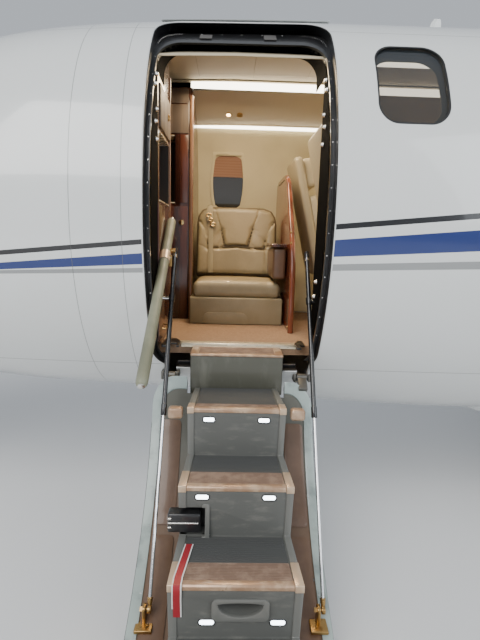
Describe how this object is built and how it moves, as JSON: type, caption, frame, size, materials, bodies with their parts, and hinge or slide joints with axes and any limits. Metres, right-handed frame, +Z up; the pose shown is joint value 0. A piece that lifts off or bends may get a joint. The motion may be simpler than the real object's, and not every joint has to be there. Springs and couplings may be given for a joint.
{
  "type": "light twin-engine business jet",
  "caption": "Low-wing business jet on its gear: hollow cabin, lowered entry airstair with struts and handrail, T-tail, rear engines, turning wheels and fans.",
  "frame": {"origin": "on the ground under the middle of the length, on the line of symmetry", "axes": "+X aft, +Y to starboard, +Z up"},
  "size_m": [15.64, 15.9044, 5.095],
  "materials": {
    "white_paint": "gloss",
    "glazing": "gloss",
    "tyres": "matte",
    "gear_metal": "satin",
    "engine_metal": "satin",
    "step_plastic": "matte",
    "black_trim": "satin",
    "rail_padding": "satin",
    "cabin_wood": "gloss",
    "carpet": "matte",
    "seat_leather": "satin"
  },
  "bodies": {
    "airframe": {"cabin_shell": "white_paint", "cabin_windows_port": "glazing", "cabin_windows_starboard": "glazing", "cockpit_shell": "white_paint", "windshield_port": "glazing", "windshield_starboard": "glazing", "nose_cone": "white_paint", "tail_cone": "white_paint", "belly_fairing": "white_paint", "wing_port": "white_paint", "wing_starboard": "white_paint", "tailplane": "white_paint", "fin": "white_paint", "engine_core_port": "engine_metal", "nacelle_port": "white_paint", "engine_core_starboard": "engine_metal", "nacelle_starboard": "white_paint", "nose_leg": "gear_metal", "nose_gear_door_port": "white_paint", "nose_gear_door_starboard": "white_paint", "main_leg_port": "gear_metal", "main_leg_starboard": "gear_metal", "door_frame": "black_trim", "floor": "carpet", "forward_cabinet_port": "cabin_wood", "forward_cabinet_starboard": "cabin_wood", "side_seat_base": "seat_leather", "side_seat_cushion": "seat_leather", "side_seat_back": "seat_leather", "cabin_partition": "cabin_wood", "club_seat_forward_port": "seat_leather", "club_seat_forward_starboard": "seat_leather", "club_seat_aft_port": "seat_leather", "club_seat_aft_starboard": "seat_leather", "crew_seat_port": "seat_leather", "crew_seat_starboard": "seat_leather", "instrument_panel": "black_trim", "aft_bulkhead": "cabin_wood"},
    "entry_door": {"entry_door": "white_paint", "airstair_steps": "step_plastic"},
    "top_step": {"top_step": "step_plastic"},
    "handrail": {"handrail": "rail_padding"},
    "strut_tube_forward": {"strut_tube_forward": "black_trim"},
    "strut_rod_forward": {"strut_rod_forward": "gear_metal"},
    "strut_tube_aft": {"strut_tube_aft": "black_trim"},
    "strut_rod_aft": {"strut_rod_aft": "gear_metal"},
    "nose_fork": {"nose_fork": "gear_metal"},
    "nose_wheel": {"nose_wheel": "tyres"},
    "main_wheel_port": {"main_wheel_port": "tyres"},
    "main_wheel_starboard": {"main_wheel_starboard": "tyres"},
    "fan_port": {"fan_port": "engine_metal"},
    "fan_starboard": {"fan_starboard": "engine_metal"},
    "rudder": {"rudder": "white_paint"},
    "elevator_port": {"elevator_port": "white_paint"},
    "elevator_starboard": {"elevator_starboard": "white_paint"},
    "aileron_port": {"aileron_port": "white_paint"},
    "aileron_starboard": {"aileron_starboard": "white_paint"},
    "flap_port": {"flap_port": "white_paint"},
    "flap_starboard": {"flap_starboard": "white_paint"}
  },
  "joints": [
    {"name": "entry_door_swing", "type": "hinge", "parent": "airframe", "child": "entry_door", "pos_m": [-3.87, -0.6, 0.995], "axis": [-1, 0, 0], "range_deg": [0, 125]},
    {"name": "top_step_slide", "type": "slide", "parent": "airframe", "child": "top_step", "axis": [0, 1, 0], "range_m": [0, 0.151]},
    {"name": "handrail_fold", "type": "hinge", "parent": "airframe", "child": "handrail", "pos_m": [-4.217, -0.59, 1.55953], "axis": [-1, 0, 0], "range_deg": [0, 126.1]},
    {"name": "strut_swing_forward", "type": "hinge", "parent": "airframe", "child": "strut_tube_forward", "pos_m": [-4.179, -0.63428, 1.37503], "axis": [-1, 0, 0], "range_deg": [0, 134.98]},
    {"name": "strut_slide_forward", "type": "slide", "parent": "strut_tube_forward", "child": "strut_rod_forward", "axis": [0, 0.5125, 0.8587], "range_m": [0, 0.6618]},
    {"name": "strut_swing_aft", "type": "hinge", "parent": "airframe", "child": "strut_tube_aft", "pos_m": [-3.54, -0.63428, 1.37503], "axis": [-1, 0, 0], "range_deg": [0, 134.98]},
    {"name": "strut_slide_aft", "type": "slide", "parent": "strut_tube_aft", "child": "strut_rod_aft", "axis": [0, 0.5125, 0.8587], "range_m": [0, 0.6618]},
    {"name": "nose_steering", "type": "hinge", "parent": "airframe", "child": "nose_fork", "pos_m": [-6.3, 0, 0.47], "axis": [0, 0, 1], "range_deg": [-60, 60]},
    {"name": "nose_wheel_spin", "type": "hinge", "parent": "nose_fork", "child": "nose_wheel", "pos_m": [-6.25, 0, 0.22], "axis": [0, 1, 0], "continuous": true},
    {"name": "main_wheel_port_spin", "type": "hinge", "parent": "airframe", "child": "main_wheel_port", "pos_m": [0.72, -1.45, 0.28], "axis": [0, 1, 0], "continuous": true},
    {"name": "main_wheel_starboard_spin", "type": "hinge", "parent": "airframe", "child": "main_wheel_starboard", "pos_m": [0.72, 1.45, 0.28], "axis": [0, 1, 0], "continuous": true},
    {"name": "fan_port_spin", "type": "hinge", "parent": "airframe", "child": "fan_port", "pos_m": [2.96, -1.32, 2.35], "axis": [1, 0, 0], "continuous": true},
    {"name": "fan_starboard_spin", "type": "hinge", "parent": "airframe", "child": "fan_starboard", "pos_m": [2.96, 1.32, 2.35], "axis": [1, 0, 0], "continuous": true},
    {"name": "rudder_swing", "type": "hinge", "parent": "airframe", "child": "rudder", "pos_m": [6.07656, 0, 2.7072], "axis": [0.3402, 0, 0.9403], "range_deg": [-25, 25]},
    {"name": "elevator_port_swing", "type": "hinge", "parent": "airframe", "child": "elevator_port", "pos_m": [6.98354, -0.2112, 4.9582], "axis": [-0.2457, 0.9692, -0.0147], "range_deg": [-20, 15]},
    {"name": "elevator_starboard_swing", "type": "hinge", "parent": "airframe", "child": "elevator_starboard", "pos_m": [6.98354, 0.2112, 4.9582], "axis": [0.2457, 0.9692, 0.0147], "range_deg": [-20, 15]},
    {"name": "aileron_port_swing", "type": "hinge", "parent": "airframe", "child": "aileron_port", "pos_m": [1.7416, -4.732, 1.06], "axis": [-0.1464, 0.9879, -0.0515], "range_deg": [-20, 20]},
    {"name": "aileron_starboard_swing", "type": "hinge", "parent": "airframe", "child": "aileron_starboard", "pos_m": [1.7416, 4.732, 1.06], "axis": [0.1464, 0.9879, 0.0515], "range_deg": [-20, 20]},
    {"name": "flap_port_swing", "type": "hinge", "parent": "airframe", "child": "flap_port", "pos_m": [1.22368, -1.2376, 0.878], "axis": [-0.1464, 0.9879, -0.0515], "range_deg": [0, 30]},
    {"name": "flap_starboard_swing", "type": "hinge", "parent": "airframe", "child": "flap_starboard", "pos_m": [1.22368, 1.2376, 0.878], "axis": [0.1464, 0.9879, 0.0515], "range_deg": [0, 30]}
  ],
  "couplings": [
    {"joint": "top_step_slide", "follows": "entry_door_swing", "m_per_rad": 0.068755},
    {"joint": "handrail_fold", "follows": "entry_door_swing", "ratio": 1.008},
    {"joint": "strut_swing_forward", "follows": "entry_door_swing", "ratio": 1.0794},
    {"joint": "strut_slide_forward", "follows": "entry_door_swing", "m_per_rad": 0.3029},
    {"joint": "strut_swing_aft", "follows": "entry_door_swing", "ratio": 1.0794},
    {"joint": "strut_slide_aft", "follows": "entry_door_swing", "m_per_rad": 0.3029},
    {"joint": "elevator_starboard_swing", "follows": "elevator_port_swing", "ratio": 1},
    {"joint": "aileron_starboard_swing", "follows": "aileron_port_swing", "ratio": -1},
    {"joint": "flap_starboard_swing", "follows": "flap_port_swing", "ratio": 1}
  ]
}
